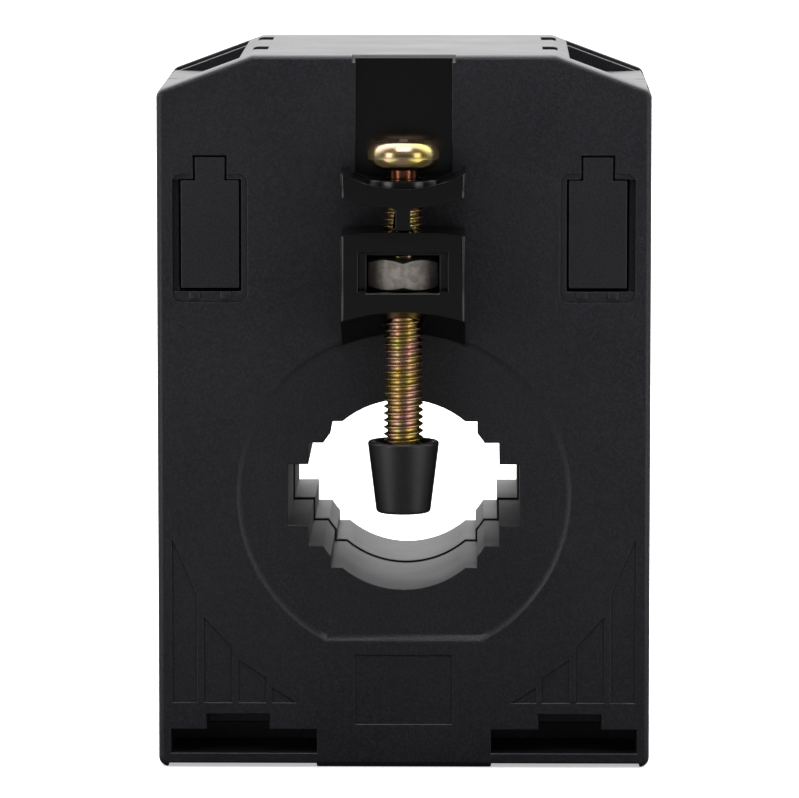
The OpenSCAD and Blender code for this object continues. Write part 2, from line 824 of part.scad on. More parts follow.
module core_insulation() {
    color(insulation_cream) skin_y(ins_ir, ins_or, ins_l, insulation_t);
}

// Turns of wire, each a loop round the ring, on a base layer of wire
module secondary_winding() {
    color(wire_copper) {
        skin_y(base_ir, base_or, base_l, enamel_t);
        for (i = [0 : turns - 1])
            translate([0, 0, window_h]) rotate([0, i * 360 / turns, 0]) difference() {
                span([-wire_d / 2, -turn_l / 2, turn_ir], [wire_d / 2, turn_l / 2, turn_or]);
                span([-wire_d, -base_l / 2 + enamel_t / 2, base_ir + enamel_t / 2],
                     [wire_d, base_l / 2 - enamel_t / 2, base_or - enamel_t / 2]);
            }
    }
}

module winding_tape() {
    color(tape_yellow) skin_y(tape_ir, tape_or, tape_l, tape_t);
}

// Ring of foam between the transformer and the end wall of a shell
module cushion(y0, y1) {
    color(foam_grey) translate([0, y0, window_h]) rotate([-90, 0, 0]) difference() {
        cylinder(h = y1 - y0, r = tape_or - 0.5);
        translate([0, 0, -past]) cylinder(h = y1 - y0 + 2 * past, r = tape_ir);
    }
}

module front_cushion() {
    cushion(front_y + wall + seat_gap, -tape_l / 2 - seat_gap);
}

module rear_cushion() {
    cushion(tape_l / 2 + seat_gap, rear_y - wall - seat_gap);
}

// Point at t, from 0 to 1, on the curve that leaves p[0] towards p[1] and reaches p[3] from p[2]
function curve(p, t) = let (s = 1 - t)
    s * s * s * p[0] + 3 * s * s * t * p[1] + 3 * s * t * t * p[2] + t * t * t * p[3];

// Round tube along points that lie in one plane of constant Y
module tube_xz(points, y, d) {
    sides = 12;
    last = len(points) - 1;
    rings = [for (i = [0 : last])
        let (run = points[min(i + 1, last)] - points[max(i - 1, 0)], across = [run[1], -run[0]] / norm(run))
        for (k = [0 : sides - 1])
            let (a = k * 360 / sides, r = d / 2 * cos(a))
            [points[i][0] + r * across[0], y + d / 2 * sin(a), points[i][1] + r * across[1]]
    ];
    walls = [for (i = [0 : last - 1]) for (k = [0 : sides - 1])
        let (n = (k + 1) % sides)
        [i * sides + k, (i + 1) * sides + k, (i + 1) * sides + n, i * sides + n]
    ];
    foot = [for (k = [0 : sides - 1]) k];
    head = [for (k = [sides - 1 : -1 : 0]) last * sides + k];
    polyhedron(rings, concat([foot], walls, [head]));
}

// Lead from the winding up to the solder tag; its bare end stands in the tag's hole
module lead() {
    exit_angle = 20;
    pull = 6;
    steps = 10;
    bare_d = tag_hole_d - 2 * seat_gap;
    tag_gap = 0.4;
    away = [sin(exit_angle), cos(exit_angle)];
    start = [0, window_h] + (tape_or + seat_gap) * away;
    stop = [tag_x, bar_low - tag_gap];
    route = [start, start + pull * away, stop - [0, pull], stop];
    color(lead_red) {
        tube_xz([for (i = [0 : steps]) curve(route, i / steps)], term_line_y, lead_d);
        translate([tag_x, term_line_y, bar_low - 2]) cylinder(h = 2 + term_bar_t + 0.5, d = bare_d, $fn = 24);
    }
}

front_shell();
rear_shell();
clamp_screw();
clamp_nut();
pressure_tip();
mirror([1, 0, 0]) terminal_screw();  // terminal_screw_left
terminal_screw();  // terminal_screw_right
mirror([1, 0, 0]) terminal_cage();  // terminal_cage_left
terminal_cage();  // terminal_cage_right
mirror([1, 0, 0]) terminal_bar();  // terminal_bar_left
terminal_bar();  // terminal_bar_right
core();
core_insulation();
secondary_winding();
winding_tape();
front_cushion();
rear_cushion();
mirror([1, 0, 0]) lead();  // lead_left
lead();  // lead_right
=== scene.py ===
"""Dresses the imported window-type current transformer: bevelled shells, threaded screws and finishes.

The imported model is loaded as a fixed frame, in metres, with its front face towards -Y.
"""

import math

import bmesh
import bpy
from bpy.props import FloatProperty, FloatVectorProperty, IntProperty, PointerProperty
from mathutils import Matrix, Vector


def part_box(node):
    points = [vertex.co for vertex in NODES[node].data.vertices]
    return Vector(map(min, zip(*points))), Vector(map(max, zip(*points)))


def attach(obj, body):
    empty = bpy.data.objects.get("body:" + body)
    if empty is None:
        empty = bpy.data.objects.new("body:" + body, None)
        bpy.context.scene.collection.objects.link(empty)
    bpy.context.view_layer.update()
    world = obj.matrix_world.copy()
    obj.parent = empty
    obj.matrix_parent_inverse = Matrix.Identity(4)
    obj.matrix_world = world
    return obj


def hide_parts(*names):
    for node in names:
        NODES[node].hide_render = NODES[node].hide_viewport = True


bl_info = {
    "name": "Current transformer dressing",
    "version": (1, 0, 0),
    "blender": (4, 5, 0),
    "location": "View3D > Sidebar > Transformer",
    "description": "Builds the detailed pieces, finishes and studio of a window-type current transformer",
    "category": "Object",
}

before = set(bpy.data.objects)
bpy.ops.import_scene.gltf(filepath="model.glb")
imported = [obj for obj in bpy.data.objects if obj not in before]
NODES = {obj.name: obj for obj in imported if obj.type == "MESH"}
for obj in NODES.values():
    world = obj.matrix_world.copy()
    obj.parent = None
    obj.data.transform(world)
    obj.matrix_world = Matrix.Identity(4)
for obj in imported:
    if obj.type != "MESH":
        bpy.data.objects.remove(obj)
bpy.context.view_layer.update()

MM = 0.001
MERGE = 2e-6              # points of a CAD mesh closer than this are one point


def node_box(name):
    """Lowest and highest corner of a CAD node, as vectors in metres."""
    low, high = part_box(name)
    return Vector(low), Vector(high)


# ---------------------------------------------------------------- settings

class CaseSettings(bpy.types.PropertyGroup):
    edge: FloatProperty(
        name="Edge radius", description="Radius of the moulded edges", unit="LENGTH",
        default=0.14 * MM, min=0.02 * MM, max=0.4 * MM)
    black: FloatVectorProperty(
        name="Plastic", description="Colour of the moulded plastic", subtype="COLOR",
        default=(0.0058, 0.0053, 0.0088), min=0, max=1)
    grain: FloatProperty(
        name="Grain", description="Size of one cell of the spark-eroded texture", unit="LENGTH",
        default=0.22 * MM, min=0.05 * MM, max=1 * MM)


class ScrewSettings(bpy.types.PropertyGroup):
    pitch: FloatProperty(
        name="Pitch", description="Pitch of the clamp screw's thread", unit="LENGTH", default=0.7 * MM)
    terminal_pitch: FloatProperty(
        name="Terminal pitch", description="Pitch of the terminal screws' thread", unit="LENGTH", default=0.6 * MM)
    gold: FloatVectorProperty(
        name="Gold", description="Main colour of the chromate coat", subtype="COLOR",
        default=(0.58, 0.43, 0.13), min=0, max=1)
    pink: FloatVectorProperty(
        name="Pink", description="Second colour of the chromate coat", subtype="COLOR",
        default=(0.62, 0.36, 0.31), min=0, max=1)
    green: FloatVectorProperty(
        name="Green", description="Third colour of the chromate coat", subtype="COLOR",
        default=(0.42, 0.45, 0.2), min=0, max=1)
    zinc: FloatVectorProperty(
        name="Zinc", description="Colour of the plated steel", subtype="COLOR",
        default=(0.3, 0.272, 0.245), min=0, max=1)


class StageSettings(bpy.types.PropertyGroup):
    lens: FloatProperty(name="Lens", description="Focal length in millimetres", default=283.9)
    key: FloatProperty(name="Key light", description="Power of each large front light", unit="POWER", default=1.0)
    left_share: FloatProperty(name="Left share", description="Share of the front light that comes from the left", default=0.56)
    top: FloatProperty(name="Top light", description="Power of the light overhead", unit="POWER", default=1.8)
    backdrop: FloatProperty(name="Backdrop", description="Brightness of the white surroundings", default=1.0)
    floor_grey: FloatProperty(name="Floor", description="Brightness of the floor's surface", default=0.9)
    floor_bounce: FloatProperty(name="Floor bounce", description="Brightness of the floor in reflections", default=0.11)
    patch_glow: FloatProperty(name="Patch glow", description="Light of the two lit patches beside the front", default=1.6)
    floor_glow: FloatProperty(name="Floor glow", description="Light that lifts the floor to white", default=0.45)


# ---------------------------------------------------------------- meshes

def new_object(name, bm, smooth=35):
    """A shaded object from a bmesh, smooth except over edges sharper than smooth, in degrees."""
    mesh = bpy.data.meshes.new(name)
    bmesh.ops.recalc_face_normals(bm, faces=bm.faces)
    for face in bm.faces:
        face.smooth = True
    for edge in bm.edges:
        edge.smooth = edge.calc_face_angle(math.pi) < math.radians(smooth)
    bm.to_mesh(mesh)
    bm.free()
    obj = bpy.data.objects.new(name, mesh)
    bpy.context.collection.objects.link(obj)
    even = obj.modifiers.new("even_normals", "WEIGHTED_NORMAL")
    even.mode, even.weight, even.keep_sharp = "FACE_AREA", 60, True
    return obj


def merged_copy(node):
    """A CAD node's mesh with its loose triangles joined into the flat faces they came from."""
    bm = bmesh.new()
    bm.from_mesh(NODES[node].data)
    bmesh.ops.remove_doubles(bm, verts=bm.verts, dist=MERGE)
    bmesh.ops.dissolve_limit(bm, angle_limit=math.radians(0.4), verts=bm.verts, edges=bm.edges)
    return bm


def soften(bm, width, angle=28, segments=2, clamp=False, wanted=lambda edge: True):
    """Rounds the outer edges of a merged copy that the test wanted lets through."""
    edges = [
        e for e in bm.edges
        if e.is_manifold and e.is_convex and e.calc_face_angle(0) > math.radians(angle) and wanted(e)
    ]
    bmesh.ops.bevel(
        bm, geom=edges, offset=width, offset_type="OFFSET", affect="EDGES",
        segments=segments, profile=0.5, material=-1, clamp_overlap=clamp)
    bmesh.ops.remove_doubles(bm, verts=bm.verts, dist=MERGE)


def in_window(edge):
    """True for the edges that run through the window from front to rear."""
    a, b = edge.verts[0].co, edge.verts[1].co
    middle = (a + b) / 2
    inside = abs(middle.x) < 12.2 * MM and abs(middle.z - WINDOW_Z) < 10.2 * MM
    return inside and abs(a.y - b.y) > 0.9 * (a - b).length


def turned(profile, centre, steps, angle=2 * math.pi):
    """A turned body: the profile holds (radius, height) pairs about the upright axis at centre."""
    bm = bmesh.new()
    verts = [bm.verts.new((centre.x + r, centre.y, z)) for r, z in profile]
    edges = [bm.edges.new(pair) for pair in zip(verts, verts[1:])]
    bmesh.ops.spin(
        bm, geom=verts + edges, cent=centre, axis=(0, 0, 1), angle=angle, steps=steps,
        use_merge=True, use_duplicate=False)
    bmesh.ops.remove_doubles(bm, verts=bm.verts, dist=1e-7)
    return bm


def rounded(profile, radius, steps=4):
    """The profile with each inner corner replaced by an arc of the radius, as far as the sides allow."""
    out = [profile[0]]
    for before, corner, after in zip(profile, profile[1:], profile[2:]):
        a, b, c = Vector(before), Vector(corner), Vector(after)
        into, away = (a - b), (c - b)
        reach = min(radius, into.length * 0.45, away.length * 0.45)
        p, q = b + into.normalized() * reach, b + away.normalized() * reach
        for i in range(steps + 1):
            t = i / steps
            out.append(tuple((1 - t) ** 2 * p + 2 * t * (1 - t) * b + t * t * q))
    out.append(profile[-1])
    return out


def threaded_rod(centre, low, high, radius, pitch, steps=40):
    """A right-hand thread from the height low to the height high, closed at both ends."""
    depth = 0.5413 * pitch
    crest, flank = pitch / 8, depth * math.tan(math.radians(30))
    tooth = [(radius - depth, 0.0), (radius - depth, pitch / 4), (radius, pitch / 4 + flank), (radius, pitch / 4 + flank + crest)]
    turns = math.ceil((high - low) / pitch) + 2
    start = low - pitch * 1.5
    profile = [(r, start + turn * pitch + z) for turn in range(turns) for r, z in tooth]
    profile.append((tooth[0][0], start + turns * pitch))
    bm = bmesh.new()
    verts = [bm.verts.new((centre.x + r, centre.y, z)) for r, z in profile]
    edges = [bm.edges.new(pair) for pair in zip(verts, verts[1:])]
    bmesh.ops.spin(
        bm, geom=verts + edges, cent=centre, axis=(0, 0, 1), dvec=(0, 0, pitch / steps),
        angle=2 * math.pi, steps=steps, use_merge=False, use_duplicate=False)
    bmesh.ops.remove_doubles(bm, verts=bm.verts, dist=1e-6)
    for height, normal in ((low, (0, 0, -1)), (high, (0, 0, 1))):
        cut = bmesh.ops.bisect_plane(
            bm, geom=bm.verts[:] + bm.edges[:] + bm.faces[:], dist=1e-7,
            plane_co=(0, 0, height), plane_no=normal, clear_outer=True)
        rim = [g for g in cut["geom_cut"] if isinstance(g, bmesh.types.BMEdge)]
        bmesh.ops.edgeloop_fill(bm, edges=rim)
    return bm


def join(parts):
    """One bmesh from several; the parts are freed."""
    whole = bmesh.new()
    for part in parts:
        mesh = bpy.data.meshes.new("part")
        part.to_mesh(mesh)
        part.free()
        whole.from_mesh(mesh)
        bpy.data.meshes.remove(mesh)
    return whole


def cut_away(obj, cutter):
    """Takes the cutter's volume out of the object and deletes the cutter."""
    obj.modifiers.clear()
    cutter.modifiers.clear()
    cut = obj.modifiers.new("cut", "BOOLEAN")
    cut.operation, cut.solver, cut.object, cut.use_self = "DIFFERENCE", "EXACT", cutter, True
    bpy.context.view_layer.update()
    graph = bpy.context.evaluated_depsgraph_get()
    mesh = bpy.data.meshes.new_from_object(obj.evaluated_get(graph))
    obj.modifiers.remove(cut)
    old, obj.data = obj.data, mesh
    name = old.name
    bpy.data.meshes.remove(old)
    obj.data.name = name
    bpy.data.objects.remove(cutter)


def cross_cutter(centre, top, length, width, depth, slot_width=0.0, slot_length=0.0):
    """Cutter for a cross recess with tapered wings and, where asked for, a straight slot."""
    bm = bmesh.new()
    wings = [(length, width, depth), (width, length, depth)]
    if slot_length:
        wings.append((slot_length, slot_width, depth * 0.55))
    for x, y, z in wings:
        made = bmesh.ops.create_cube(bm, size=1.0)["verts"]
        for v in made:
            taper = 0.62 if v.co.z < 0 else 1.12
            v.co = Vector((v.co.x * x * taper, v.co.y * y * (0.8 if v.co.z < 0 else 1.1), v.co.z * 2 * z))
            v.co += Vector((centre.x, centre.y, top))
    return new_object("cutter", bm)


# ---------------------------------------------------------------- node groups and materials

def wire(tree, kind, inputs=None, **settings):
    """Adds a shader node; inputs holds values or output sockets by input name or number."""
    made = tree.nodes.new(kind)
    for key, value in settings.items():
        setattr(made, key, value)
    for key, value in (inputs or {}).items():
        socket = made.inputs[key]
        if isinstance(value, bpy.types.NodeSocket):
            tree.links.new(value, socket)
        else:
            socket.default_value = value
    return made


def start_group(name, inputs, outputs):
    """An empty node group with named float or colour sockets."""
    tree = bpy.data.node_groups.new(name, "ShaderNodeTree")
    for direction, sockets in (("INPUT", inputs), ("OUTPUT", outputs)):
        for label, kind in sockets:
            tree.interface.new_socket(label, in_out=direction, socket_type=kind)
    return tree, tree.nodes.new("NodeGroupInput"), tree.nodes.new("NodeGroupOutput")


FLOAT, COLOUR = "NodeSocketFloat", "NodeSocketColor"


def spark_grain():
    """Fine pitted texture of a spark-eroded mould, with its height and a mask of its high spots."""
    name = "spark grain"
    if name in bpy.data.node_groups:
        return bpy.data.node_groups[name]
    tree, given, out = start_group(name, [("Scale", FLOAT)], [("Height", FLOAT), ("Fleck", FLOAT), ("Cloud", FLOAT)])
    place = wire(tree, "ShaderNodeTexCoord").outputs["Object"]
    scale = given.outputs["Scale"]
    fine = wire(tree, "ShaderNodeTexNoise", {"Vector": place, "Scale": scale, "Detail": 3.0, "Roughness": 0.65})
    wide_scale = wire(tree, "ShaderNodeMath", {0: scale, 1: 0.22}, operation="MULTIPLY").outputs[0]
    wide = wire(tree, "ShaderNodeTexNoise", {"Vector": place, "Scale": wide_scale, "Detail": 2.0, "Roughness": 0.5})
    cloud_scale = wire(tree, "ShaderNodeMath", {0: scale, 1: 0.02}, operation="MULTIPLY").outputs[0]
    cloud = wire(tree, "ShaderNodeTexNoise", {"Vector": place, "Scale": cloud_scale, "Detail": 3.0})
    sum_up = wire(tree, "ShaderNodeMath", {0: wide.outputs["Fac"], 1: 0.5, 2: fine.outputs["Fac"]}, operation="MULTIPLY_ADD")
    fleck = wire(tree, "ShaderNodeMapRange", {"Value": fine.outputs["Fac"], "From Min": 0.42, "From Max": 0.68})
    tree.links.new(sum_up.outputs[0], out.inputs["Height"])
    tree.links.new(fleck.outputs["Result"], out.inputs["Fleck"])
    tree.links.new(cloud.outputs["Fac"], out.inputs["Cloud"])
    return tree


def plating_marks():
    """Blotches and faint scratches of a plated surface."""
    name = "plating marks"
    if name in bpy.data.node_groups:
        return bpy.data.node_groups[name]
    tree, given, out = start_group(
        name, [("Scale", FLOAT)], [("Blotch", FLOAT), ("Tint", FLOAT), ("Height", FLOAT)])
    place = wire(tree, "ShaderNodeTexCoord").outputs["Object"]
    scale = given.outputs["Scale"]
    blotch = wire(tree, "ShaderNodeTexNoise", {"Vector": place, "Scale": scale, "Detail": 5.0, "Roughness": 0.62})
    tint_scale = wire(tree, "ShaderNodeMath", {0: scale, 1: 0.4}, operation="MULTIPLY").outputs[0]
    tint = wire(tree, "ShaderNodeTexNoise", {"Vector": place, "Scale": tint_scale, "Detail": 2.0, "Distortion": 0.6})
    fine_scale = wire(tree, "ShaderNodeMath", {0: scale, 1: 6.0}, operation="MULTIPLY").outputs[0]
    fine = wire(tree, "ShaderNodeTexNoise", {"Vector": place, "Scale": fine_scale, "Detail": 4.0, "Roughness": 0.7})
    tree.links.new(blotch.outputs["Fac"], out.inputs["Blotch"])
    tree.links.new(tint.outputs["Fac"], out.inputs["Tint"])
    tree.links.new(fine.outputs["Fac"], out.inputs["Height"])
    return tree


def start_material(name, preview):
    """A material with its Principled shader, ready for its own nodes."""
    made = bpy.data.materials.new(name)
    made.use_nodes = True
    made.diffuse_color = (*preview, 1.0)
    shader = made.node_tree.nodes["Principled BSDF"]
    return made, made.node_tree, shader


def mix_colours(tree, factor, first, second):
    """Output socket that runs from the first colour to the second."""
    mixed = wire(tree, "ShaderNodeMix", data_type="RGBA")
    for key, value in ((0, factor), (6, first), (7, second)):
        socket = mixed.inputs[key]
        if isinstance(value, bpy.types.NodeSocket):
            tree.links.new(value, socket)
        else:
            socket.default_value = value if key == 0 else (*value[:3], 1.0)
    return mixed.outputs[2]


def spread(tree, value, low, high, to_low, to_high):
    """Output socket with value's stretch low to high mapped to to_low to to_high."""
    return wire(tree, "ShaderNodeMapRange", {
        "Value": value, "From Min": low, "From Max": high, "To Min": to_low, "To Max": to_high}).outputs["Result"]


def bumped(tree, shader, height, distance, strength=1.0):
    """Feeds the shader's normal from a height."""
    bump = wire(tree, "ShaderNodeBump", {"Height": height, "Distance": distance, "Strength": strength})
    tree.links.new(bump.outputs["Normal"], shader.inputs["Normal"])


def times(colour, factor):
    return tuple(c * factor for c in colour)


def polished_and_shaded_places():
    """Masks: Mask covers the smooth-moulded places, the bracket in front of the face and the driver groove, which also
    get painted shade; Window covers the window tunnel, which gets painted shade.
    """
    name = "polished places"
    if name in bpy.data.node_groups:
        return bpy.data.node_groups[name]
    tree, given, out = start_group(name, [], [("Mask", FLOAT), ("Window", FLOAT)])
    apart = wire(tree, "ShaderNodeSeparateXYZ", {0: wire(tree, "ShaderNodeTexCoord").outputs["Object"]})
    out_of_face = spread(tree, apart.outputs["Y"], FACE_Y - 0.06 * MM, FACE_Y - 0.16 * MM, 0.0, 1.0)
    side = wire(tree, "ShaderNodeMath", {0: apart.outputs["X"]}, operation="ABSOLUTE").outputs[0]
    between = wire(tree, "ShaderNodeMath", {0: side, 1: 4.9 * MM}, operation="LESS_THAN").outputs[0]
    above = wire(tree, "ShaderNodeMath", {0: apart.outputs["Z"], 1: 59.8 * MM}, operation="GREATER_THAN").outputs[0]
    sunk = wire(tree, "ShaderNodeMath", {0: apart.outputs["Y"], 1: FACE_Y + 0.3 * MM}, operation="GREATER_THAN").outputs[0]
    near = wire(tree, "ShaderNodeMath", {0: apart.outputs["Y"], 1: FACE_Y + 1.1 * MM}, operation="LESS_THAN").outputs[0]
    groove = between
    for other in (above, sunk, near):
        groove = wire(tree, "ShaderNodeMath", {0: groove, 1: other}, operation="MULTIPLY").outputs[0]
    both = wire(tree, "ShaderNodeMath", {0: out_of_face, 1: groove}, operation="MAXIMUM").outputs[0]
    tree.links.new(both, out.inputs["Mask"])
    # the Window mask marks the window tunnel, where the plastic gets painted shade
    height = wire(tree, "ShaderNodeMath", {0: apart.outputs["Z"], 1: WINDOW_Z, 2: 10.1 * MM}, operation="COMPARE").outputs[0]
    depth = wire(tree, "ShaderNodeMath", {0: apart.outputs["Y"], 1: 0.0, 2: -FACE_Y - 0.45 * MM}, operation="COMPARE").outputs[0]
    window = wire(tree, "ShaderNodeMath", {0: side, 1: 12.3 * MM}, operation="LESS_THAN").outputs[0]
    for other in (height, depth):
        window = wire(tree, "ShaderNodeMath", {0: window, 1: other}, operation="MULTIPLY").outputs[0]
    tree.links.new(window, out.inputs["Window"])
    return tree


def moulded_black(name, colour, grain, depth, rough, polish=0.0):
    """Black moulded plastic with a spark-eroded texture, smoother by polish on the bracket and in the driver groove,
    which are also darkened as painted shade; the window tunnel is darkened as painted shade and made rougher.
    """
    made, tree, shader = start_material(name, colour)
    texture = wire(tree, "ShaderNodeGroup", node_tree=spark_grain())
    texture.inputs["Scale"].default_value = 1.0 / grain
    tone = mix_colours(tree, texture.outputs["Fleck"], times(colour, 0.4), times(colour, 2.6))
    base = spread(tree, texture.outputs["Cloud"], 0.3, 0.7, rough - 0.04, rough + 0.05)
    height = texture.outputs["Height"]
    if polish:
        places = wire(tree, "ShaderNodeGroup", node_tree=polished_and_shaded_places())
        mask, window = places.outputs["Mask"], places.outputs["Window"]
        # painted shade: the bracket and the driver groove are darkened to 0.15 of the plastic's colour
        tone = mix_colours(tree, mask, tone, times(colour, 0.15))
        # painted shade: the plastic inside the window tunnel is darkened to 0.3 of its colour
        tone = mix_colours(tree, window, tone, times(colour, 0.3))
        less = spread(tree, mask, 0.0, 1.0, 1.0, 1.0 - polish)
        base = wire(tree, "ShaderNodeMath", {0: base, 1: less}, operation="MULTIPLY").outputs[0]
        base = wire(tree, "ShaderNodeMath", {0: window, 1: 0.17, 2: base}, operation="MULTIPLY_ADD").outputs[0]
        flatter = spread(tree, mask, 0.0, 1.0, 1.0, 0.15)
        height = wire(tree, "ShaderNodeMath", {0: height, 1: flatter}, operation="MULTIPLY").outputs[0]
    tree.links.new(tone, shader.inputs["Base Color"])
    tree.links.new(base, shader.inputs["Roughness"])
    shader.inputs["IOR"].default_value = 1.5
    bumped(tree, shader, height, depth)
    return made


def plated(name, colours, marks, rough, depth, metallic=1.0, neck_shade=None):
    """Plated metal whose coat wanders between up to three colours; neck holds two heights and a colour, painted between
    them as shade below the head.
    """
    made, tree, shader = start_material(name, colours[0])
    texture = wire(tree, "ShaderNodeGroup", node_tree=plating_marks())
    texture.inputs["Scale"].default_value = 1.0 / marks
    tint = spread(tree, texture.outputs["Tint"], 0.42, 0.62, 0.0, 1.0)
    tone = mix_colours(tree, tint, colours[0], colours[1])
    if len(colours) > 2:
        spots = spread(tree, texture.outputs["Blotch"], 0.5, 0.66, 0.0, 0.8)
        tone = mix_colours(tree, spots, tone, colours[2])
    # painted shade: between the two heights the coat takes the given dark reddish colour, standing in for the shade
    # under the head
    if neck_shade:
        apart = wire(tree, "ShaderNodeSeparateXYZ", {0: wire(tree, "ShaderNodeTexCoord").outputs["Object"]})
        from_low = spread(tree, apart.outputs["Z"], neck_shade[0] - 0.2 * MM, neck_shade[0], 0.0, 1.0)
        to_high = spread(tree, apart.outputs["Z"], neck_shade[1], neck_shade[1] + 0.2 * MM, 1.0, 0.0)
        shade_band = wire(tree, "ShaderNodeMath", {0: from_low, 1: to_high}, operation="MULTIPLY").outputs[0]
        tone = mix_colours(tree, shade_band, tone, neck_shade[2])
    tree.links.new(tone, shader.inputs["Base Color"])
    tree.links.new(spread(tree, texture.outputs["Blotch"], 0.3, 0.7, rough * 0.75, rough * 1.3), shader.inputs["Roughness"])
    shader.inputs["Metallic"].default_value = metallic
    bumped(tree, shader, texture.outputs["Height"], depth)
    return made


def plain_mottled(name, colour, rough, scale, contrast=0.15, depth=0.01 * MM, metallic=0.0, sheen=0.0):
    """A matt or satin surface with a soft mottle."""
    made, tree, shader = start_material(name, colour)
    texture = wire(tree, "ShaderNodeGroup", node_tree=plating_marks())
    texture.inputs["Scale"].default_value = 1.0 / scale
    tone = mix_colours(tree, texture.outputs["Blotch"], times(colour, 1 - contrast), times(colour, 1 + contrast))
    tree.links.new(tone, shader.inputs["Base Color"])
    tree.links.new(spread(tree, texture.outputs["Tint"], 0.3, 0.7, rough * 0.85, rough * 1.15), shader.inputs["Roughness"])
    shader.inputs["Metallic"].default_value = metallic
    shader.inputs["Sheen Weight"].default_value = sheen
    bumped(tree, shader, texture.outputs["Height"], depth)
    return made


def wound_strip(name, colour, thickness, centre_z):
    """Rings of strip steel, seen as fine lines about the window's axis."""
    made, tree, shader = start_material(name, colour)
    place = wire(tree, "ShaderNodeTexCoord").outputs["Object"]
    moved = wire(tree, "ShaderNodeMapping", {"Vector": place, "Location": (0, 0, -centre_z)})
    apart = wire(tree, "ShaderNodeSeparateXYZ", {0: moved.outputs[0]})
    flat = wire(tree, "ShaderNodeCombineXYZ", {"X": apart.outputs["X"], "Z": apart.outputs["Z"]})
    radius = wire(tree, "ShaderNodeVectorMath", {0: flat.outputs[0]}, operation="LENGTH").outputs["Value"]
    turn = wire(tree, "ShaderNodeMath", {0: radius, 1: thickness}, operation="DIVIDE").outputs[0]
    line = wire(tree, "ShaderNodeMath", {0: turn}, operation="FRACT").outputs[0]
    edge = spread(tree, line, 0.0, 0.25, 0.0, 1.0)
    tree.links.new(mix_colours(tree, edge, times(colour, 0.35), colour), shader.inputs["Base Color"])
    tree.links.new(spread(tree, edge, 0.0, 1.0, 0.6, 0.32), shader.inputs["Roughness"])
    shader.inputs["Metallic"].default_value = 1.0
    bumped(tree, shader, edge, 0.03 * MM)
    return made


FINISHES = {}


def finish_for(slot):
    """The material of a slot of the record, made once."""
    if slot in FINISHES:
        return FINISHES[slot]
    scene = bpy.context.scene
    case, screw = scene.ct_case, scene.ct_screw
    makers = {
        # with polish 0.5 the case also gets painted shade on the bracket, in the driver groove and in the window tunnel
        "case_black": lambda: moulded_black("moulded_case_black", tuple(case.black), case.grain, 0.035 * MM, 0.42, 0.5),
        "tip_black": lambda: moulded_black("smooth_tip_black", (0.0075, 0.007, 0.007), 0.12 * MM, 0.0015 * MM, 0.33),
        "chromated_steel": lambda: plated(
            "yellow_chromate", [tuple(screw.gold), tuple(screw.pink), tuple(screw.green)], 1.1 * MM, 0.2, 0.001 * MM,
            # painted shade on the shank just below the clamp screw's head, dark reddish
            neck_shade=(SCREW_HIGH.z - 4.85 * MM, SCREW_HIGH.z - 2.85 * MM, (0.25, 0.09, 0.05))),
        "zinc_steel": lambda: plated(
            "zinc_steel", [tuple(screw.zinc), times(tuple(screw.zinc), 0.7)], 0.35 * MM, 0.46, 0.006 * MM),
        "tinned_brass": lambda: plated(
            "tinned_brass", [(0.62, 0.6, 0.54), (0.55, 0.5, 0.38)], 1.5 * MM, 0.28, 0.002 * MM),
        "core_steel": lambda: wound_strip("core_strip_steel", (0.3, 0.31, 0.33), 0.3 * MM, WINDOW_Z),
        "insulation_film": lambda: plain_mottled("insulation_film", (0.66, 0.55, 0.36), 0.5, 1.2 * MM),
        "winding_copper": lambda: plated(
            "enamelled_copper", [(0.62, 0.22, 0.09), (0.45, 0.13, 0.05)], 2 * MM, 0.22, 0.001 * MM),
        "tape_yellow": lambda: plain_mottled("polyester_tape", (0.68, 0.46, 0.09), 0.3, 3 * MM, 0.08),
        "foam_grey": lambda: plain_mottled("foam_grey", (0.15, 0.155, 0.165), 0.85, 0.5 * MM, 0.35, 0.15 * MM),
        "lead_red": lambda: plain_mottled("lead_red", (0.3, 0.028, 0.02), 0.4, 2 * MM, 0.1),
    }
    FINISHES[slot] = makers[slot]()
    return FINISHES[slot]


def dress(obj, slot):
    """Gives an object the finish of a slot as its only material."""
    obj.data.materials.clear()
    obj.data.materials.append(finish_for(slot))
    for face in obj.data.polygons:
        face.material_index = 0


def stand_for(obj, body, slot, *nodes):
    """Lets a new piece ride on its body in place of CAD nodes."""
    dress(obj, slot)
    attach(obj, body)
    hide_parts(*nodes)


WINDOW_Z = (node_box("core")[0].z + node_box("core")[1].z) / 2
FACE_Y = -node_box("rear_shell")[1].y
SCREW_LOW, SCREW_HIGH = node_box("clamp_screw")
SCREW_AXIS = (SCREW_LOW + SCREW_HIGH) / 2
TIP_LOW, TIP_HIGH = node_box("pressure_tip")


# ---------------------------------------------------------------- operators

class MakeShells(bpy.types.Operator):
    """Both halves of the moulded case, with rounded edges"""
    bl_idname = "ct.make_shells"
    bl_label = "Case shells"

    def execute(self, context):
        edge = context.scene.ct_case.edge
        for node, name in (("front_shell", "case_front"), ("rear_shell", "case_rear")):
            bm = merged_copy(node)
            soften(bm, edge, wanted=lambda e: not in_window(e))
            stand_for(new_object(name, bm), "case", "case_black", node)
        return {"FINISHED"}


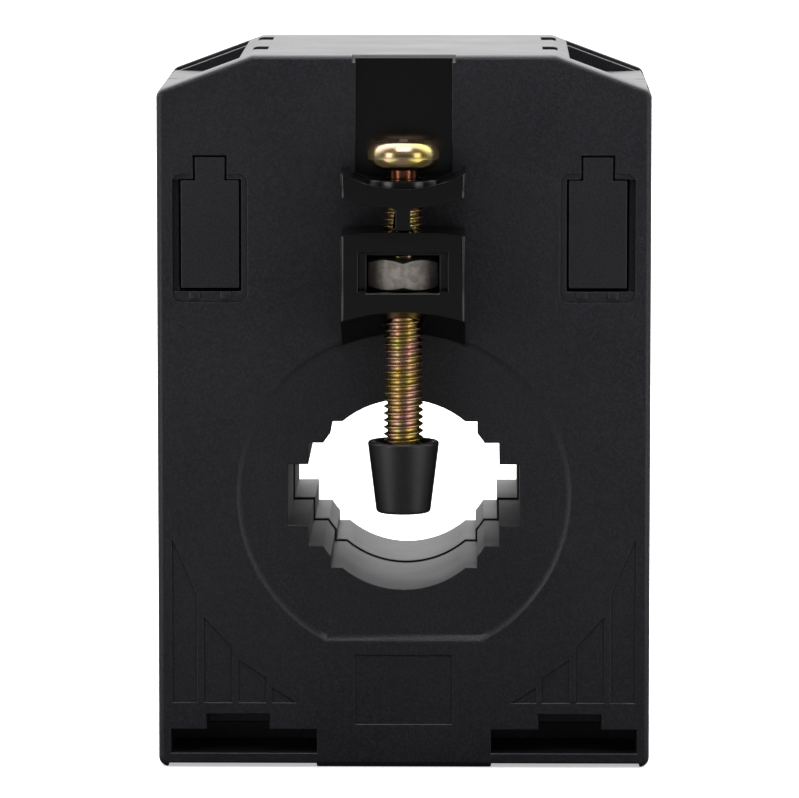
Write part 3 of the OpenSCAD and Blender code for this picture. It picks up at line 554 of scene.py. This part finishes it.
class MakeClampScrew(bpy.types.Operator):
    """Clamp screw with a helical thread, a necked shank and a rounded head with a cross recess"""
    bl_idname = "ct.make_clamp_screw"
    bl_label = "Clamp screw"

    def execute(self, context):
        pitch = context.scene.ct_screw.pitch
        radius = 2.0 * MM
        head_h, head_r, corner = 2.85 * MM, (SCREW_HIGH.x - SCREW_LOW.x) / 2, 1.35 * MM
        head_low = SCREW_HIGH.z - head_h
        neck_low = head_low - 2.0 * MM
        shank = threaded_rod(SCREW_AXIS, SCREW_LOW.z, neck_low + 0.3 * MM, radius - 0.02 * MM, pitch)
        arcs = [
            (head_r - corner + corner * math.cos(a), height + corner * math.sin(a))
            for height, start in ((head_low + corner, -90), (SCREW_HIGH.z - corner, 0))
            for a in (math.radians(start + 90 * i / 10) for i in range(11))
        ]
        dome = 0.0
        profile = [(0, neck_low), (1.5 * MM, neck_low), (1.5 * MM, head_low)] + arcs + [(0, SCREW_HIGH.z + dome)]
        head = turned(profile, SCREW_AXIS, 72)
        body = new_object("clamp_screw_head", head)
        cut_away(body, cross_cutter(SCREW_AXIS, SCREW_HIGH.z, 4.2 * MM, 0.95 * MM, 1.6 * MM))
        bm = bmesh.new()
        bm.from_mesh(body.data)
        bpy.data.objects.remove(body)
        stand_for(new_object("threaded_clamp_screw", join([shank, bm])), "screw", "chromated_steel", "clamp_screw")
        return {"FINISHED"}


class MakeClampNut(bpy.types.Operator):
    """Hex nut with softened corners"""
    bl_idname = "ct.make_clamp_nut"
    bl_label = "Clamp nut"

    def execute(self, context):
        bm = merged_copy("clamp_nut")
        soften(bm, 0.11 * MM, angle=20, clamp=True)
        stand_for(new_object("hex_nut", bm, 24), "case", "zinc_steel", "clamp_nut")
        return {"FINISHED"}


class MakePressureTip(bpy.types.Operator):
    """Cone-shaped pressure tip with rounded edges and a dished top"""
    bl_idname = "ct.make_pressure_tip"
    bl_label = "Pressure tip"

    def execute(self, context):
        top_r = (TIP_HIGH.x - TIP_LOW.x) / 2
        low_r = top_r * 5.45 / 7.25
        hole_r = 2.05 * MM
        floor_z = SCREW_LOW.z - 0.05 * MM
        profile = rounded([
            (0, TIP_LOW.z), (low_r, TIP_LOW.z), (top_r, TIP_HIGH.z), (hole_r + 0.85 * MM, TIP_HIGH.z),
            (hole_r + 0.3 * MM, TIP_HIGH.z - 0.5 * MM), (hole_r, TIP_HIGH.z - 0.5 * MM), (hole_r, floor_z),
            (0, floor_z)], 0.35 * MM)
        bm = turned(profile, SCREW_AXIS, 72)
        stand_for(new_object("pressure_cap", bm), "tip", "tip_black", "pressure_tip")
        return {"FINISHED"}


class MakeTerminals(bpy.types.Operator):
    """Terminal screws with their recess and thread, cages and tinned bars"""
    bl_idname = "ct.make_terminals"
    bl_label = "Terminals"

    def execute(self, context):
        pitch = context.scene.ct_screw.terminal_pitch
        for side, short in (("left", "l"), ("right", "r")):
            node = f"terminal_screw_{side}"
            low, high = node_box(node)
            axis = (low + high) / 2
            head_r, head_h = (high.x - low.x) / 2, 1.4 * MM
            head_low = high.z - head_h
            shank = threaded_rod(axis, low.z, head_low - 0.25 * MM, 1.74 * MM, pitch, 32)
            profile = rounded([
                (0, head_low - 0.4 * MM), (1.35 * MM, head_low - 0.4 * MM), (1.35 * MM, head_low),
                (head_r, head_low), (head_r, high.z), (0, high.z)], 0.25 * MM)
            body = new_object("head", turned(profile, axis, 64))
            cut_away(body, cross_cutter(axis, high.z, 3.0 * MM, 0.8 * MM, 0.95 * MM, 0.7 * MM, 6.4 * MM))
            bm = bmesh.new()
            bm.from_mesh(body.data)
            bpy.data.objects.remove(body)
            screw = new_object(f"threaded_terminal_screw_{side}", join([shank, bm]))
            stand_for(screw, f"terminal_screw_{short}", "zinc_steel", node)
            bm = merged_copy(f"terminal_cage_{side}")
            soften(bm, 0.12 * MM)
            stand_for(new_object(f"clamp_cage_{side}", bm), f"cage_{short}", "zinc_steel", f"terminal_cage_{side}")
            bm = merged_copy(f"terminal_bar_{side}")
            soften(bm, 0.1 * MM)
            stand_for(new_object(f"contact_bar_{side}", bm), "case", "tinned_brass", f"terminal_bar_{side}")
        return {"FINISHED"}


class FinishTransformer(bpy.types.Operator):
    """Finishes for the core, its winding, insulation, cushions and leads"""
    bl_idname = "ct.finish_transformer"
    bl_label = "Transformer finishes"

    def execute(self, context):
        for node, slot in (
            ("core", "core_steel"), ("core_insulation", "insulation_film"),
            ("secondary_winding", "winding_copper"), ("winding_tape", "tape_yellow"),
            ("front_cushion", "foam_grey"), ("rear_cushion", "foam_grey"),
            ("lead_left", "lead_red"), ("lead_right", "lead_red"),
        ):
            dress(NODES[node], slot)
        return {"FINISHED"}


def aimed(location, target, roll=0.0):
    """World matrix of a camera or light at location that looks at target."""
    direction = (Vector(target) - Vector(location)).normalized()
    turn = direction.to_track_quat("-Z", "Y").to_matrix().to_4x4()
    return Matrix.Translation(Vector(location)) @ turn @ Matrix.Rotation(roll, 4, "Z")


def soft_light(name, location, target, size, power, colour=(1, 1, 1)):
    """A rectangular area light."""
    lamp = bpy.data.lights.new(name, "AREA")
    lamp.shape, lamp.size, lamp.size_y = "RECTANGLE", size[0], size[1]
    lamp.energy, lamp.color = power, colour
    obj = bpy.data.objects.new(name, lamp)
    bpy.context.collection.objects.link(obj)
    obj.matrix_world = aimed(location, target)
    return obj


class MakeStage(bpy.types.Operator):
    """Pale floor, white surroundings, soft lights and the camera"""
    bl_idname = "ct.make_stage"
    bl_label = "Stage"

    def execute(self, context):
        scene = context.scene
        stage = scene.ct_stage

        camera = bpy.data.objects.new("camera", bpy.data.cameras.new("camera"))
        scene.collection.objects.link(camera)
        camera.data.lens, camera.data.sensor_width = stage.lens, 36.0
        camera.data.clip_end = 20.0
        camera.matrix_world = aimed((0.007785, -0.65137, 0.11283), (-0.00044, -0.0175, 0.03785))
        scene.camera = camera

        bm = bmesh.new()
        bmesh.ops.create_grid(bm, x_segments=1, y_segments=1, size=1.5)
        floor = new_object("studio_floor", bm)
        made, tree, shader = start_material("floor_white", (0.9, 0.9, 0.9))
        marks = wire(tree, "ShaderNodeGroup", node_tree=plating_marks())
        marks.inputs["Scale"].default_value = 30.0
        level = stage.floor_grey
        tone = mix_colours(tree, marks.outputs["Blotch"], (level,) * 3, (level * 0.985,) * 3)
        seen = wire(tree, "ShaderNodeLightPath").outputs["Is Camera Ray"]
        tree.links.new(mix_colours(tree, seen, (stage.floor_bounce,) * 3, tone), shader.inputs["Base Color"])
        shader.inputs["Roughness"].default_value = 0.9
        shader.inputs["Specular IOR Level"].default_value = 0.1
        shader.inputs["Emission Color"].default_value = (1, 1, 1, 1)
        apart = wire(tree, "ShaderNodeSeparateXYZ", {0: wire(tree, "ShaderNodeTexCoord").outputs["Object"]})
        side = wire(tree, "ShaderNodeMath", {0: apart.outputs["X"]}, operation="ABSOLUTE").outputs[0]
        patch = spread(tree, side, 0.05, 0.09, 0.0, stage.patch_glow)
        for edge in (spread(tree, side, 0.2, 0.3, 1.0, 0.0), spread(tree, apart.outputs["Y"], -0.3, -0.2, 0.0, 1.0),
                     spread(tree, apart.outputs["Y"], -0.08, -0.03, 1.0, 0.0)):
            patch = wire(tree, "ShaderNodeMath", {0: patch, 1: edge}, operation="MULTIPLY").outputs[0]
        glow = wire(tree, "ShaderNodeMix", {0: seen, 2: patch, 3: stage.floor_glow}, data_type="FLOAT").outputs[0]
        tree.links.new(glow, shader.inputs["Emission Strength"])
        floor.data.materials.append(made)

        world = bpy.data.worlds.new("white_surroundings")
        world.use_nodes = True
        scene.world = world
        tree = world.node_tree
        back = tree.nodes["Background"]
        around = wire(tree, "ShaderNodeSeparateXYZ", {0: wire(tree, "ShaderNodeTexCoord").outputs["Generated"]})
        front_dim = spread(tree, around.outputs["Y"], -0.3, 0.25, 0.07, 0.95)
        overhead = spread(tree, around.outputs["Z"], 0.08, 0.5, 1.0, 3.8)
        front_dim = wire(tree, "ShaderNodeMath", {0: front_dim, 1: overhead}, operation="MULTIPLY").outputs[0]
        seen = wire(tree, "ShaderNodeLightPath").outputs["Is Camera Ray"]
        strength = wire(tree, "ShaderNodeMix", {0: seen, 2: front_dim, 3: 1.0}, data_type="FLOAT").outputs[0]
        scaled = wire(tree, "ShaderNodeMath", {0: strength, 1: stage.backdrop}, operation="MULTIPLY").outputs[0]
        tree.links.new(scaled, back.inputs["Strength"])
        back.inputs["Color"].default_value = (1, 1, 1, 1)

        middle = (0, 0, 0.036)
        left = 2 * stage.key * stage.left_share
        soft_light("front_left", (-0.5, -0.5, 0.1), middle, (0.25, 0.5), left)
        soft_light("front_right", (0.5, -0.5, 0.1), middle, (0.25, 0.5), 2 * stage.key - left)
        soft_light("overhead", (0, -0.3, 0.6), middle, (0.4, 0.4), stage.top)

        scene.view_settings.view_transform = "Standard"
        scene.view_settings.look = "None"
        return {"FINISHED"}


class StagePanel(bpy.types.Panel):
    """Lists the pieces and their settings"""
    bl_idname = "VIEW3D_PT_ct_panel"
    bl_label = "Current transformer"
    bl_space_type = "VIEW_3D"
    bl_region_type = "UI"
    bl_category = "Transformer"

    def draw(self, context):
        for group, owner in (("Case", "ct_case"), ("Screws", "ct_screw"), ("Stage", "ct_stage")):
            box = self.layout.box()
            box.label(text=group)
            settings = getattr(context.scene, owner)
            for key in settings.bl_rna.properties.keys():
                if key not in {"rna_type", "name"}:
                    box.prop(settings, key)
        for operator in OPERATORS:
            self.layout.operator(operator.bl_idname)


SETTINGS = (("ct_case", CaseSettings), ("ct_screw", ScrewSettings), ("ct_stage", StageSettings))
OPERATORS = (
    MakeShells, MakeClampScrew, MakeClampNut, MakePressureTip, MakeTerminals, FinishTransformer, MakeStage)


def register():
    for name, group in SETTINGS:
        bpy.utils.register_class(group)
        setattr(bpy.types.Scene, name, PointerProperty(type=group))
    for cls in (*OPERATORS, StagePanel):
        bpy.utils.register_class(cls)


def unregister():
    for cls in (StagePanel, *reversed(OPERATORS)):
        bpy.utils.unregister_class(cls)
    for name, group in reversed(SETTINGS):
        delattr(bpy.types.Scene, name)
        bpy.utils.unregister_class(group)


def main():
    """Builds every piece in order."""
    register()
    for operator in OPERATORS:
        category, name = operator.bl_idname.split(".")
        getattr(getattr(bpy.ops, category), name)()


if __name__ == "__main__":
    main()
